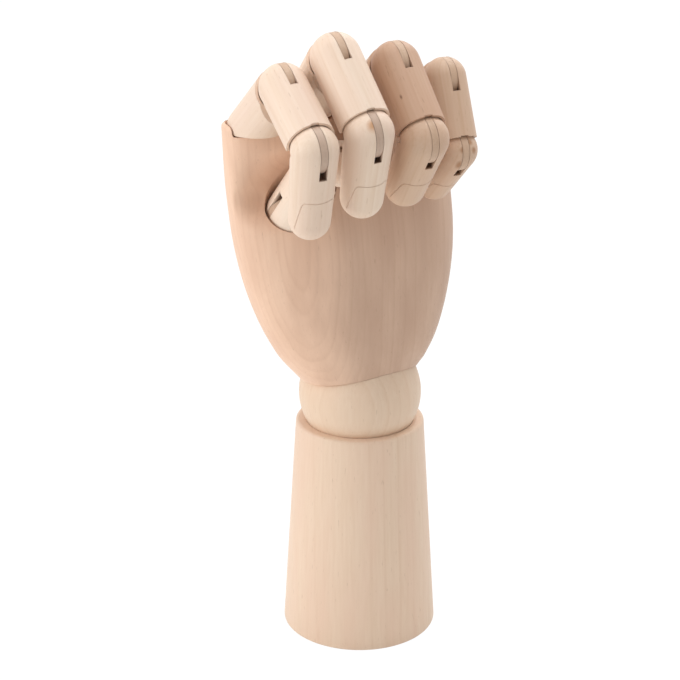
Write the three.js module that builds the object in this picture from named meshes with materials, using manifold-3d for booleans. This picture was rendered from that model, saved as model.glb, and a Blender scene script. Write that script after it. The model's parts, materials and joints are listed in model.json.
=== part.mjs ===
// Jointed wooden artist's hand, a left hand closed to a fist on a turned forearm base.
// Millimetres and degrees. The origin is the centre of the base's underside, +Z is up,
// the palm faces -Y and the thumb is on the -X side.
import * as THREE from 'three';
import { mergeVertices } from 'three/addons/utils/BufferGeometryUtils.js';
import Module from 'manifold-3d';

const wasm = await Module();
wasm.setup();

// Forearm base
const BASE_HEIGHT = 91;
const BASE_FOOT_RADIUS = 31.5;
const BASE_TOP_RADIUS = 26;
const BASE_RIM_ROUND = 1.4;
const BASE_FOOT_CHAMFER = 0.8;

// Wrist ball, its seats and the spring that holds base, ball and palm together
const BALL_RADIUS = 24.7;
const BALL_RISE = 11.5;
const BALL_SEAT_GAP = 0.4;
const SPRING_BORE_RADIUS = 7;
const SPRING_BORE_PAST_PIN = 7;
const SPRING_COIL_RADIUS = 3.1;
const SPRING_WIRE_RADIUS = 0.55;
const SPRING_TURNS = 11;
const SPRING_PIN_RADIUS = 1.9;
const SPRING_PIN_TIP_WALL = 7;
const BASE_PIN_DROP = 31;
const PALM_PIN_RISE = 29;

// Palm: half width and half depth at heights above the ball centre
const PALM_LEAN = 6.5;
const PALM_STATIONS = [
  { up: 10, halfWidth: 24.8, halfDepth: 20.5 },
  { up: 24, halfWidth: 33.8, halfDepth: 21.7 },
  { up: 46, halfWidth: 41.2, halfDepth: 22 },
  { up: 70, halfWidth: 45, halfDepth: 21.4 },
  { up: 98, halfWidth: 45.8, halfDepth: 16 },
  { up: 124, halfWidth: 44.2, halfDepth: 14.4 },
];
const PALM_SHIFT = 1;
const PALM_SHIFT_RUN = 30;
const PALM_WRIST_SQUARENESS = 2;
const PALM_KNUCKLE_SQUARENESS = 2.6;
const PALM_EDGE_ROUND = 2.2;
const PALM_CREST = 3.2;
const PALM_CORNER_RISE = 1.5;
const PALM_CORNER_DROP = 4.5;
// Lower edge at the wrist: height in the middle, and how far it drops to the thumb side and to the far side
const WRIST_ARCH = 13.8;
const WRIST_DROP_THUMB = 1.8;
const WRIST_DROP_FAR = 6.1;

// Finger joints, the same construction everywhere
const DOME_GAP = 0.3;
const RIM_STEP = 0.4;
const RIM_SET_BACK = 0.45;
const SLOT_REACH = 0.94;
const THUMB_SLOT_REACH = 1.12;
const TONGUE_THICKNESS = 2.4;
const TONGUE_GAP = 0.3;
const TONGUE_SINK = 0.95;
const TONGUE_SHANK = 0.55;
const MORTISE_DEPTH = 6.5;
const PIN_RADIUS = 0.9;
const PIN_GAP = 0.3;
const PIN_TIP_WALL = 2;
const PIN_SINK = 0.35;
const HINGE_BEVEL = 52;
const KNUCKLE_BEVEL_PAST_BEND = 5;
const SOCKET_CLEARANCE = 0.35;
const SOCKET_EASE = 1.01;

// Fingers: place of the knuckle on the palm, lean across the hand, bend of the three joints as posed,
// lengths from joint to joint (the last to the tip) and dome radii of the joints and of the tip
const FINGERS = [
  {
    name: 'index', across: -31.9, up: 118.7, lean: 3.5, bend: [54, 69, 73],
    length: [40.7, 30, 37.4], radius: [9.8, 9, 8.7], tipRadius: 7.7,
  },
  {
    name: 'middle', across: -10.3, up: 120.6, lean: 1.3, bend: [50, 83, 69],
    length: [44.8, 32.4, 37], radius: [9.6, 9.4, 9.1], tipRadius: 8,
  },
  {
    name: 'ring', across: 11.9, up: 116.3, lean: 4.6, bend: [53.5, 81, 82],
    length: [42.1, 31.3, 35.4], radius: [9.4, 9.2, 8.9], tipRadius: 7.8,
  },
  {
    name: 'little', across: 32.5, up: 111, lean: 7.2, bend: [56.5, 99, 69.5],
    length: [36.2, 26.9, 31], radius: [8.4, 8.1, 7.8], tipRadius: 6.9,
  },
];

// Thumb: seat in the palm, attitude as posed, the valley and the small dish it swings over,
// swing to open and to close further
const THUMB = {
  across: -22.5, front: -7.6, up: 85.4, tilt: 37, lean: 17, turn: 95, tipBend: 87,
  length: [29.5, 27.5], radius: [10.3, 9.1], tipRadius: 7.9,
};
const THUMB_VALLEY = {
  across: -26, up: 94, halfWidth: 19, reachUp: 21, reachDown: 13.5, depth: 10, fade: 6,
};
const THUMB_HOLLOW = { across: -41, front: -16.6, up: 92, halfWidth: 13, halfDepth: 12, halfHeight: 11 };
const THUMB_OPEN = 28;
const THUMB_CLOSE_LEFT = 6;
const THUMB_TONGUE_LEAN = 30;

// Facets
const FINGER_SIDES = 16;
const SOCKET_SIDES = 16;
const ARC_STEPS = 4;
const BALL_SIDES = 28;
const BALL_STEPS = 10;
const PALM_SIDES = 32;
const PALM_RINGS = 11;
const PIN_SIDES = 6;
const ROUND_END_STEPS = 4;
const SPRING_PIN_SIDES = 10;
const WIRE_SIDES = 5;
const STEPS_PER_TURN = 7;
const HOOK_STEPS = 8;

const WELD = 1e-4;
const rad = THREE.MathUtils.degToRad;
const ballCentre = BASE_HEIGHT + BALL_RISE;

// Wood and steel finishes
function wood(colour) {
  return new THREE.MeshStandardMaterial({ color: colour, roughness: 0.62, metalness: 0 });
}
function steel() {
  return new THREE.MeshStandardMaterial({ color: '#b9bcc0', roughness: 0.35, metalness: 1 });
}
const PALE_WOOD = '#efd9bd';
const BASE_WOOD = '#e9cfb0';
const PALM_WOOD = '#d8b394';
const TONGUE_WOOD = '#d9bd98';

// A closed solid from a geometry: welded corners, no empty triangles
function solid(geometry) {
  const bare = geometry.clone();
  bare.deleteAttribute('normal');
  bare.deleteAttribute('uv');
  const welded = mergeVertices(bare, WELD);
  const corners = welded.index.array;
  const triVerts = [];
  for (let i = 0; i < corners.length; i += 3) {
    const [a, b, c] = [corners[i], corners[i + 1], corners[i + 2]];
    if (a !== b && b !== c && c !== a) {
      triVerts.push(a, b, c);
    }
  }
  const mesh = new wasm.Mesh({
    numProp: 3,
    vertProperties: new Float32Array(welded.attributes.position.array),
    triVerts: new Uint32Array(triVerts),
  });
  return new wasm.Manifold(mesh);
}

// A named piece of the scene from a solid
function piece(name, body, material, parent) {
  const made = body.getMesh();
  const geometry = new THREE.BufferGeometry();
  geometry.setAttribute('position', new THREE.BufferAttribute(made.vertProperties, made.numProp));
  geometry.setIndex(new THREE.BufferAttribute(made.triVerts, 1));
  geometry.computeVertexNormals();
  const mesh = new THREE.Mesh(geometry, material);
  mesh.name = name;
  parent.add(mesh);
  return mesh;
}

// Points of an arc about (0, middle): angles from the axis' cross plane, radius measured on the arc
function arcPoints(radius, middle, from, to, steps) {
  const points = [];
  for (let i = 0; i <= steps; i += 1) {
    const angle = from + ((to - from) * i) / steps;
    const atPole = Math.abs(Math.abs(angle) - 90) < WELD;
    const across = atPole ? 0 : radius * Math.cos(rad(angle));
    points.push(new THREE.Vector2(across, middle + radius * Math.sin(rad(angle))));
  }
  return points;
}

// A body turned about +Z from a profile of (radius, height) points, lowest first
function turned(points, sides) {
  const geometry = new THREE.LatheGeometry(points, sides);
  geometry.rotateX(Math.PI / 2);
  return solid(geometry);
}

// A radius whose facets clear a round body of the given radius
function clearing(radius, sides) {
  return radius / Math.cos(Math.PI / sides);
}

// A straight round bar along +X between two places
function barAlongX(radius, from, to, sides) {
  const geometry = new THREE.CylinderGeometry(radius, radius, to - from, sides);
  geometry.rotateZ(-Math.PI / 2);
  geometry.translate((from + to) / 2, 0, 0);
  return solid(geometry);
}

function block(sizeX, sizeY, sizeZ, x, y, z) {
  const geometry = new THREE.BoxGeometry(sizeX, sizeY, sizeZ);
  geometry.translate(x, y, z);
  return geometry;
}

// A plate standing in the YZ plane, centred on X, from an outline of (y, z) points
function plate(shape, thickness) {
  const settings = { depth: thickness, bevelEnabled: false, curveSegments: ROUND_END_STEPS };
  const geometry = new THREE.ExtrudeGeometry(shape, settings);
  geometry.translate(0, 0, -thickness / 2);
  const across = new THREE.Vector3(0, 1, 0);
  const along = new THREE.Vector3(0, 0, 1);
  const through = new THREE.Vector3(1, 0, 0);
  geometry.applyMatrix4(new THREE.Matrix4().makeBasis(across, along, through));
  return solid(geometry);
}

// Slot for the tongue through a dome centred on the origin, and the blind hole for its pin
function slotCut(domeRadius, reach) {
  const low = -domeRadius - 1;
  const high = reach * domeRadius;
  const width = TONGUE_THICKNESS + 2 * TONGUE_GAP;
  return solid(block(width, 4 * domeRadius, high - low, 0, 0, (high + low) / 2));
}
function pinHole(domeRadius) {
  return barAlongX(PIN_RADIUS + PIN_GAP, -(domeRadius - PIN_TIP_WALL), domeRadius + 2, PIN_SIDES);
}
function pinBody(domeRadius) {
  const tip = -(domeRadius - PIN_TIP_WALL - PIN_GAP);
  return barAlongX(PIN_RADIUS, tip, domeRadius - PIN_SINK, PIN_SIDES);
}

// Tongue: a round-ended flat plate about the joint, with a shank that is glued in a mortise below it
function shankHalf(domeRadius) {
  return TONGUE_SHANK * domeRadius;
}
function tongueBody(domeRadius) {
  const radius = domeRadius - TONGUE_SINK;
  const half = shankHalf(domeRadius);
  const foot = -(domeRadius + DOME_GAP + MORTISE_DEPTH - 2 * TONGUE_GAP);
  const shoulder = Math.acos(half / radius);
  const shape = new THREE.Shape();
  shape.moveTo(-half, foot);
  shape.lineTo(half, foot);
  shape.absarc(0, 0, radius, -shoulder, Math.PI + shoulder, false);
  shape.closePath();
  const pinRoom = barAlongX(PIN_RADIUS + PIN_GAP, -radius, radius, PIN_SIDES);
  return plate(shape, TONGUE_THICKNESS).subtract(pinRoom);
}
function mortiseCut(domeRadius) {
  const depth = 2 * domeRadius + MORTISE_DEPTH;
  const middle = -(domeRadius + DOME_GAP + MORTISE_DEPTH) + depth / 2;
  const width = TONGUE_THICKNESS + 2 * TONGUE_GAP;
  return solid(block(width, 2 * (shankHalf(domeRadius) + TONGUE_GAP), depth, 0, 0, middle));
}

// Bevels on the palmar side that let a joint fold: one below the joint, one above it outside the dome
function bevelBelow(domeRadius) {
  const geometry = block(4 * domeRadius, 3 * domeRadius, 2 * domeRadius, 0, -1.5 * domeRadius, domeRadius);
  geometry.rotateX(rad(HINGE_BEVEL));
  return solid(geometry);
}
function bevelAbove(domeRadius, bevel) {
  const geometry = block(4 * domeRadius, 3 * domeRadius, 2 * domeRadius, 0, -1.5 * domeRadius, -domeRadius);
  geometry.rotateX(-rad(bevel));
  const kept = arcPoints(clearing(domeRadius, FINGER_SIDES), 0, -90, 90, 2 * ARC_STEPS);
  return solid(geometry).subtract(turned(kept, FINGER_SIDES));
}

// Segment with a slotted dome below, centred on the origin, and a cup above for the next dome
function cuppedSegment(radius, length, nextRadius, slotReach, bevel) {
  const cup = clearing(nextRadius + DOME_GAP, FINGER_SIDES);
  const rimDrop = RIM_SET_BACK * nextRadius;
  const rimAngle = THREE.MathUtils.radToDeg(Math.asin(rimDrop / cup));
  const profile = [
    ...arcPoints(radius, 0, -90, 0, ARC_STEPS),
    new THREE.Vector2(nextRadius + RIM_STEP, length - rimDrop),
    ...arcPoints(cup, length, -rimAngle, -90, ARC_STEPS),
  ];
  let body = turned(profile, FINGER_SIDES);
  body = body.subtract(slotCut(radius, slotReach)).subtract(pinHole(radius));
  body = body.subtract(mortiseCut(nextRadius).translate(0, 0, length));
  body = body.subtract(bevelBelow(nextRadius).translate(0, 0, length));
  return bevel ? body.subtract(bevelAbove(radius, bevel)) : body;
}

// Last segment: slotted dome below and a rounded finger end
function tipSegment(radius, length, tipRadius) {
  const profile = [
    ...arcPoints(radius, 0, -90, 0, ARC_STEPS),
    ...arcPoints(tipRadius, length - tipRadius, 0, 90, ARC_STEPS + 1),
  ];
  let body = turned(profile, FINGER_SIDES);
  body = body.subtract(slotCut(radius, SLOT_REACH)).subtract(pinHole(radius));
  return body.subtract(bevelAbove(radius, HINGE_BEVEL));
}

// Room that a segment of the given radius sweeps about the origin between two bends,
// round at the first and, unless the segment is bevelled there, at the last
function sweptRoom(radius, fromBend, toBend, reach, roundEnd) {
  const wide = clearing(radius + SOCKET_CLEARANCE, SOCKET_SIDES);
  const bar = new THREE.CylinderGeometry(wide, wide, reach, SOCKET_SIDES);
  bar.rotateX(Math.PI / 2);
  bar.translate(0, 0, reach / 2);
  const finger = solid(bar);
  const fan = new THREE.Shape();
  const fanSteps = 3;
  fan.moveTo(0, 0);
  for (let i = 0; i <= fanSteps; i += 1) {
    const bend = rad(fromBend + ((toBend - fromBend) * i) / fanSteps);
    fan.lineTo(-reach * Math.sin(bend), reach * Math.cos(bend));
  }
  fan.closePath();
  const socket = turned(arcPoints(wide * SOCKET_EASE, 0, -90, 90, 2 * ARC_STEPS), SOCKET_SIDES);
  const room = plate(fan, 2 * (radius + SOCKET_CLEARANCE));
  const opened = socket.add(room).add(finger.rotate(fromBend, 0, 0));
  return roundEnd ? opened.add(finger.rotate(toBend, 0, 0)) : opened;
}

const hand = new THREE.Group();

// Forearm base: turned foot with the ball's cup and the spring's bore in its top
const seatRadius = clearing(BALL_RADIUS + BALL_SEAT_GAP, BALL_SIDES);
const basePinHeight = BASE_HEIGHT - BASE_PIN_DROP;
{
  const cupEdge = -THREE.MathUtils.radToDeg(Math.asin(BALL_RISE / seatRadius));
  const cupFloor = -THREE.MathUtils.radToDeg(Math.acos(SPRING_BORE_RADIUS / seatRadius));
  const boreFloor = basePinHeight - SPRING_BORE_PAST_PIN;
  const rimRound = arcPoints(BASE_RIM_ROUND, BASE_HEIGHT - BASE_RIM_ROUND, 0, 90, 3).map(
    (p) => p.add(new THREE.Vector2(BASE_TOP_RADIUS - BASE_RIM_ROUND, 0)),
  );
  const profile = [
    new THREE.Vector2(0, 0),
    new THREE.Vector2(BASE_FOOT_RADIUS - BASE_FOOT_CHAMFER, 0),
    new THREE.Vector2(BASE_FOOT_RADIUS, BASE_FOOT_CHAMFER),
    ...rimRound,
    ...arcPoints(seatRadius, ballCentre, cupEdge, cupFloor, ARC_STEPS),
    new THREE.Vector2(SPRING_BORE_RADIUS, boreFloor),
    new THREE.Vector2(0, boreFloor),
  ];
  const taper = (BASE_FOOT_RADIUS - BASE_TOP_RADIUS) / BASE_HEIGHT;
  const back = BASE_FOOT_RADIUS - taper * basePinHeight;
  const front = -(back - SPRING_PIN_TIP_WALL);
  const pinRoom = barAlongX(SPRING_PIN_RADIUS + PIN_GAP, front - PIN_GAP, back + 2, SPRING_PIN_SIDES);
  const pin = barAlongX(SPRING_PIN_RADIUS, front, back - 2 * PIN_SINK, SPRING_PIN_SIDES);
  const place = (bar) => bar.rotate(0, 0, 90).translate(0, 0, basePinHeight);
  piece('forearm_base', turned(profile, BALL_SIDES).subtract(place(pinRoom)), wood(BASE_WOOD), hand);
  piece('base_spring_pin', place(pin), steel(), hand);
}

// Wrist ball with the bore that the spring runs through
{
  const boreEdge = THREE.MathUtils.radToDeg(Math.acos(SPRING_BORE_RADIUS / BALL_RADIUS));
  const profile = arcPoints(BALL_RADIUS, 0, -boreEdge, boreEdge, BALL_STEPS);
  profile.push(profile[0].clone());
  const ball = piece('wrist_ball', turned(profile, BALL_SIDES), wood(PALE_WOOD), hand);
  ball.position.z = ballCentre;
}

const palmGroup = new THREE.Group();
palmGroup.position.z = ballCentre;
palmGroup.rotation.y = -rad(PALM_LEAN);
hand.add(palmGroup);

// Wrist spring: hooked on both cross pins, it pulls straight from one to the other
{
  const lean = rad(PALM_LEAN);
  const palmPin = new THREE.Vector3(-Math.sin(lean), 0, Math.cos(lean)).multiplyScalar(PALM_PIN_RISE);
  palmPin.z += ballCentre;
  const basePin = new THREE.Vector3(0, 0, basePinHeight);
  const run = palmPin.distanceTo(basePin);
  const ramp = 0.14;
  const climb = (x) => ramp * (x ** 3 - x ** 4 / 2);
  const turnShare = (s) => {
    if (s < ramp) {
      return climb(s / ramp);
    }
    return s > 1 - ramp ? 1 - ramp - climb((1 - s) / ramp) : s - ramp / 2;
  };
  const hookShare = HOOK_STEPS / (2 * HOOK_STEPS + SPRING_TURNS * STEPS_PER_TURN + 2 * STEPS_PER_TURN);
  class SpringWire extends THREE.Curve {
    getPoint(t) {
      const r = SPRING_COIL_RADIUS;
      if (t < hookShare) {
        const a = Math.PI * (1 + t / hookShare);
        return new THREE.Vector3(r * Math.cos(a), 0, r * Math.sin(a));
      }
      if (t > 1 - hookShare) {
        const a = (Math.PI * (t - 1 + hookShare)) / hookShare;
        return new THREE.Vector3(r * Math.cos(a), 0, run + r * Math.sin(a));
      }
      const s = (t - hookShare) / (1 - 2 * hookShare);
      const a = (2 * Math.PI * SPRING_TURNS * turnShare(s)) / (1 - ramp);
      return new THREE.Vector3(r * Math.cos(a), r * Math.sin(a), run * s);
    }
    getPointAt(t) {
      return this.getPoint(t);
    }
    getTangentAt(t) {
      return this.getTangent(t);
    }
  }
  const section = new THREE.Shape();
  for (let i = 0; i < WIRE_SIDES; i += 1) {
    const a = (2 * Math.PI * i) / WIRE_SIDES;
    const corner = [SPRING_WIRE_RADIUS * Math.cos(a), SPRING_WIRE_RADIUS * Math.sin(a)];
    if (i === 0) {
      section.moveTo(...corner);
    } else {
      section.lineTo(...corner);
    }
  }
  section.closePath();
  const steps = Math.round(HOOK_STEPS / hookShare);
  const settings = { steps, extrudePath: new SpringWire(), bevelEnabled: false };
  const wire = new THREE.ExtrudeGeometry(section, settings);
  const spring = piece('wrist_spring', solid(wire), steel(), hand);
  spring.position.copy(basePin);
  spring.rotation.y = Math.atan2(palmPin.x, palmPin.z - basePin.z);
}

// Joint groups of a chain: the tongue stays with the carrier, the pin turns with the next segment
function hinge(carrier, name, radius, height, bend) {
  const seat = new THREE.Group();
  seat.position.z = height;
  carrier.add(seat);
  piece(`${name}_tongue`, tongueBody(radius), wood(TONGUE_WOOD), seat);
  const turning = new THREE.Group();
  turning.rotation.x = rad(bend);
  seat.add(turning);
  piece(`${name}_pin`, pinBody(radius), steel(), turning);
  return turning;
}

const palmCuts = [];

// Four fingers, each three segments on hinges
for (const finger of FINGERS) {
  const { name, radius, length, bend } = finger;
  const root = new THREE.Group();
  root.position.set(finger.across, 0, finger.up);
  root.rotation.y = rad(finger.lean);
  palmGroup.add(root);
  const proximal = hinge(root, `${name}_knuckle`, radius[0], 0, bend[0]);
  const knuckleBevel = bend[0] + KNUCKLE_BEVEL_PAST_BEND;
  const proximalBody = cuppedSegment(radius[0], length[0], radius[1], SLOT_REACH, knuckleBevel);
  piece(`${name}_proximal`, proximalBody, wood(PALE_WOOD), proximal);
  const middle = hinge(proximal, `${name}_middle`, radius[1], length[0], bend[1]);
  const middleBody = cuppedSegment(radius[1], length[1], radius[2], SLOT_REACH, HINGE_BEVEL);
  piece(`${name}_middle`, middleBody, wood(PALE_WOOD), middle);
  const tip = hinge(middle, `${name}_tip`, radius[2], length[1], bend[2]);
  piece(`${name}_tip`, tipSegment(radius[2], length[2], finger.tipRadius), wood(PALE_WOOD), tip);

  const room = sweptRoom(radius[0], 0, 90, length[0], false).add(mortiseCut(radius[0]));
  palmCuts.push(room.rotate(0, finger.lean, 0).translate(finger.across, 0, finger.up));
}

// Thumb: two segments, its root hinge swings across the palm
{
  const { radius, length } = THUMB;
  const root = new THREE.Group();
  root.position.set(THUMB.across, THUMB.front, THUMB.up);
  root.rotation.set(rad(THUMB.tilt), rad(THUMB.lean), rad(THUMB.turn), 'YXZ');
  palmGroup.add(root);
  const carrier = new THREE.Group();
  carrier.rotation.x = -rad(THUMB_TONGUE_LEAN);
  root.add(carrier);
  const base = hinge(carrier, 'thumb_root', radius[0], 0, THUMB_TONGUE_LEAN);
  const baseBody = cuppedSegment(radius[0], length[0], radius[1], THUMB_SLOT_REACH, 0);
  piece('thumb_base', baseBody, wood(PALE_WOOD), base);
  const tip = hinge(base, 'thumb_tip', radius[1], length[0], THUMB.tipBend);
  piece('thumb_tip', tipSegment(radius[1], length[1], THUMB.tipRadius), wood(PALE_WOOD), tip);

  const room = sweptRoom(radius[0], -THUMB_OPEN, THUMB_CLOSE_LEFT, 2 * length[0], true);
  const seat = room.add(mortiseCut(radius[0]).rotate(-THUMB_TONGUE_LEAN, 0, 0));
  root.updateMatrix();
  palmCuts.push(seat.transform(root.matrix.toArray()));
}

// Palm: sections that run from nearly round at the wrist to wide and flat at the knuckles,
// with a crest that follows the knuckles and a rounded upper edge
{
  const stations = PALM_STATIONS.map((s) => new THREE.Vector3(s.up, s.halfWidth, s.halfDepth));
  const spine = new THREE.CatmullRomCurve3(stations);
  const [first, last] = [FINGERS[0], FINGERS[FINGERS.length - 1]];
  const crestPoints = FINGERS.map((f) => new THREE.Vector2(f.across, f.up + PALM_CREST));
  const top = PALM_STATIONS[PALM_STATIONS.length - 1];
  const thumbCorner = first.up + PALM_CREST + PALM_CORNER_RISE;
  const farCorner = last.up + PALM_CREST - PALM_CORNER_DROP;
  crestPoints.unshift(new THREE.Vector2(PALM_SHIFT - top.halfWidth, thumbCorner));
  crestPoints.push(new THREE.Vector2(PALM_SHIFT + top.halfWidth, farCorner));
  const crestHeight = (x) => {
    for (let i = 1; i < crestPoints.length; i += 1) {
      const [a, b] = [crestPoints[i - 1], crestPoints[i]];
      if (x <= b.x || i === crestPoints.length - 1) {
        return THREE.MathUtils.mapLinear(x, a.x, b.x, a.y, b.y);
      }
    }
    return crestPoints[0].y;
  };
  const wristHeight = (x) => {
    const drop = x < 0 ? WRIST_DROP_THUMB : WRIST_DROP_FAR;
    return WRIST_ARCH - drop * Math.min(1, (x / PALM_STATIONS[0].halfWidth) ** 2);
  };
  const easing = (run, half) => (1 - Math.min(1, Math.abs(run) / half) ** 2) ** 2;
  const valleyDepth = (x, y, z) => {
    const { across, up, halfWidth, reachUp, reachDown, depth, fade } = THUMB_VALLEY;
    const inFront = Math.min(1, Math.max(0, -y) / fade);
    return depth * inFront * easing(x - across, halfWidth) * easing(z - up, z > up ? reachUp : reachDown);
  };
  const edgeRings = 2;
  const rings = PALM_RINGS + edgeRings;
  const geometry = new THREE.CylinderGeometry(1, 1, 1, PALM_SIDES, rings);
  geometry.rotateX(Math.PI / 2);
  const place = geometry.attributes.position;
  const bulge = (c, squareness) => Math.sign(c) * Math.abs(c) ** (2 / squareness);
  for (let i = 0; i < place.count; i += 1) {
    const ring = Math.round((place.getZ(i) + 0.5) * rings);
    const edge = rad(Math.max(0, ring - PALM_RINGS) * (90 / edgeRings));
    const station = spine.getPoint(Math.min(ring / PALM_RINGS, 1));
    const inset = PALM_EDGE_ROUND * (1 - Math.cos(edge));
    const shift = PALM_SHIFT * THREE.MathUtils.smoothstep(station.x, 0, PALM_SHIFT_RUN);
    const reach = Math.hypot(place.getX(i), place.getY(i));
    const [c, s] = reach > 0 ? [place.getX(i) / reach, place.getY(i) / reach] : [0, 0];
    const share = (station.x - PALM_STATIONS[0].up) / (top.up - PALM_STATIONS[0].up);
    const squareness = THREE.MathUtils.lerp(PALM_WRIST_SQUARENESS, PALM_KNUCKLE_SQUARENESS, share);
    const x = shift + reach * bulge(c, squareness) * (station.y - inset);
    const y = reach * bulge(s, squareness) * (station.z - inset);
    const crest = crestHeight(x) - PALM_EDGE_ROUND;
    const z = THREE.MathUtils.lerp(wristHeight(x), crest, share) + PALM_EDGE_ROUND * Math.sin(edge);
    place.setXYZ(i, x, y + valleyDepth(x, y, z), z);
  }
  const seat = arcPoints(seatRadius, 0, -90, 90, 3 * ARC_STEPS);
  const boreTop = PALM_PIN_RISE + SPRING_BORE_PAST_PIN;
  const bore = [new THREE.Vector2(0, 0), new THREE.Vector2(SPRING_BORE_RADIUS, 0)];
  bore.push(new THREE.Vector2(SPRING_BORE_RADIUS, boreTop), new THREE.Vector2(0, boreTop));
  const depthAtPin = PALM_STATIONS[1].halfDepth;
  const front = -(depthAtPin - SPRING_PIN_TIP_WALL);
  const pinRoom = barAlongX(SPRING_PIN_RADIUS + PIN_GAP, front - PIN_GAP, depthAtPin + 2, SPRING_PIN_SIDES);
  const pin = barAlongX(SPRING_PIN_RADIUS, front, depthAtPin - 4 * PIN_SINK, SPRING_PIN_SIDES);
  const across = (bar) => bar.rotate(0, 0, 90).translate(0, 0, PALM_PIN_RISE);
  let palm = solid(geometry).subtract(turned(seat, BALL_SIDES));
  palm = palm.subtract(turned(bore, SPRING_PIN_SIDES * 2)).subtract(across(pinRoom));
  const hollow = new THREE.SphereGeometry(1, FINGER_SIDES, 2 * ARC_STEPS);
  hollow.rotateX(Math.PI / 2);
  hollow.scale(THUMB_HOLLOW.halfWidth, THUMB_HOLLOW.halfDepth, THUMB_HOLLOW.halfHeight);
  hollow.translate(THUMB_HOLLOW.across, THUMB_HOLLOW.front, THUMB_HOLLOW.up);
  palm = palm.subtract(solid(hollow));
  for (const cut of palmCuts) {
    palm = palm.subtract(cut);
  }
  piece('palm', palm, wood(PALM_WOOD), palmGroup);
  piece('palm_spring_pin', across(pin), steel(), palmGroup);
}

export default hand;
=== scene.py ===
import json
import math

import bmesh
import bpy
from mathutils import Matrix, Vector


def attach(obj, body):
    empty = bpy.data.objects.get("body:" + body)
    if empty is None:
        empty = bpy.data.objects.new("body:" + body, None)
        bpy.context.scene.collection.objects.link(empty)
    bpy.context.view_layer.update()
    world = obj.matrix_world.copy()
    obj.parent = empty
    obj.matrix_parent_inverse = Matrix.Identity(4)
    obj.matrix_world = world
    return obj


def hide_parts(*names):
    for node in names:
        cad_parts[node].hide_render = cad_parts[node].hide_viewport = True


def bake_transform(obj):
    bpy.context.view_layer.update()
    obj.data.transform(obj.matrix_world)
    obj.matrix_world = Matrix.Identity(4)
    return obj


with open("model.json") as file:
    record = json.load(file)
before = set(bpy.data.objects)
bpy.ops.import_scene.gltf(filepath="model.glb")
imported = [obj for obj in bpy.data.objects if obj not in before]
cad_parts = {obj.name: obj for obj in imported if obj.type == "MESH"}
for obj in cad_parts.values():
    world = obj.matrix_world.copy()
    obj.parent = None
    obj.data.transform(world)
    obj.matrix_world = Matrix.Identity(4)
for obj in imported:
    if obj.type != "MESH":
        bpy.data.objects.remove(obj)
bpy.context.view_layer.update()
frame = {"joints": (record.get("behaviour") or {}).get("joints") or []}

# Forearm base: a tapered foot turned on a lathe from one block of pale hardwood, hollowed at the
# top to a cup for the wrist ball and bored for the spring. The grain stands upright, and the wood
# is sanded fine and left without varnish. All sizes are in millimetres, the frame is in metres.
MM = 0.001
BASE_HEIGHT = 91.0
BASE_FOOT_RADIUS = 31.5
BASE_TOP_RADIUS = 26.0
BASE_RIM_ROUND = 1.4
BASE_FOOT_ROUND = 0.8
BALL_RADIUS = 24.7
BALL_SEAT_GAP = 0.12
BALL_CENTRE = BASE_HEIGHT + 11.5
SPRING_BORE_RADIUS = 7.0
SPRING_BORE_FLOOR = 53.0
SPRING_PIN_RADIUS = 1.9
PIN_GAP = 0.3
PIN_ROOM_LENGTH = 60.0
BASE_PIN_HEIGHT = 60.0
BASE_PIN_FRONT = -20.9
LATHE_SIDES = 128
CUTTER_SIDES = 96
WELD = 0.002
BASE_PITH = (-52.0, 30.0, 0.0)
SLOT_WIDTH = 3.0
RING_SWAY = 1.6
# Painted light: how ragged, in millimetres, the edge is where a painted paler lit side fades out.
PAINTED_LIGHT_RAGGED = 14.0
SANDED_EDGE = 0.3
FIBRE_RELIEF = 0.05
# Painted shade: the dark brown painted on slot walls in place of their shadow.
SLOT_PAINTED_SHADE = "#6B452C"
CRUMB = 0.003
CREASE_ANGLE = 24.0


def colour(hex_code):
    """An sRGB hex colour as the linear colour that a shader socket takes."""
    parts = [int(hex_code[i:i + 2], 16) / 255 for i in (1, 3, 5)]
    linear = [p / 12.92 if p <= 0.04045 else ((p + 0.055) / 1.055) ** 2.4 for p in parts]
    return (*linear, 1.0)


def add(tree, kind, feeds=None, **settings):
    """Adds a node with its settings; feeds gives an input its value or its link: a socket, a node, which
    stands for its first output, or a list of these."""
    made = tree.nodes.new(kind)
    for name, value in settings.items():
        setattr(made, name, value)
    for place, value in (feeds or {}).items():
        for source in value if isinstance(value, list) else [value]:
            if isinstance(source, bpy.types.Node):
                source = source.outputs[0]
            if isinstance(source, bpy.types.NodeSocket):
                tree.links.new(source, made.inputs[place])
            else:
                made.inputs[place].default_value = source
    return made


def bare_tree(owner):
    """The emptied node tree of a material or a world."""
    owner.use_nodes = True
    owner.node_tree.nodes.clear()
    return owner.node_tree


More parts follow.
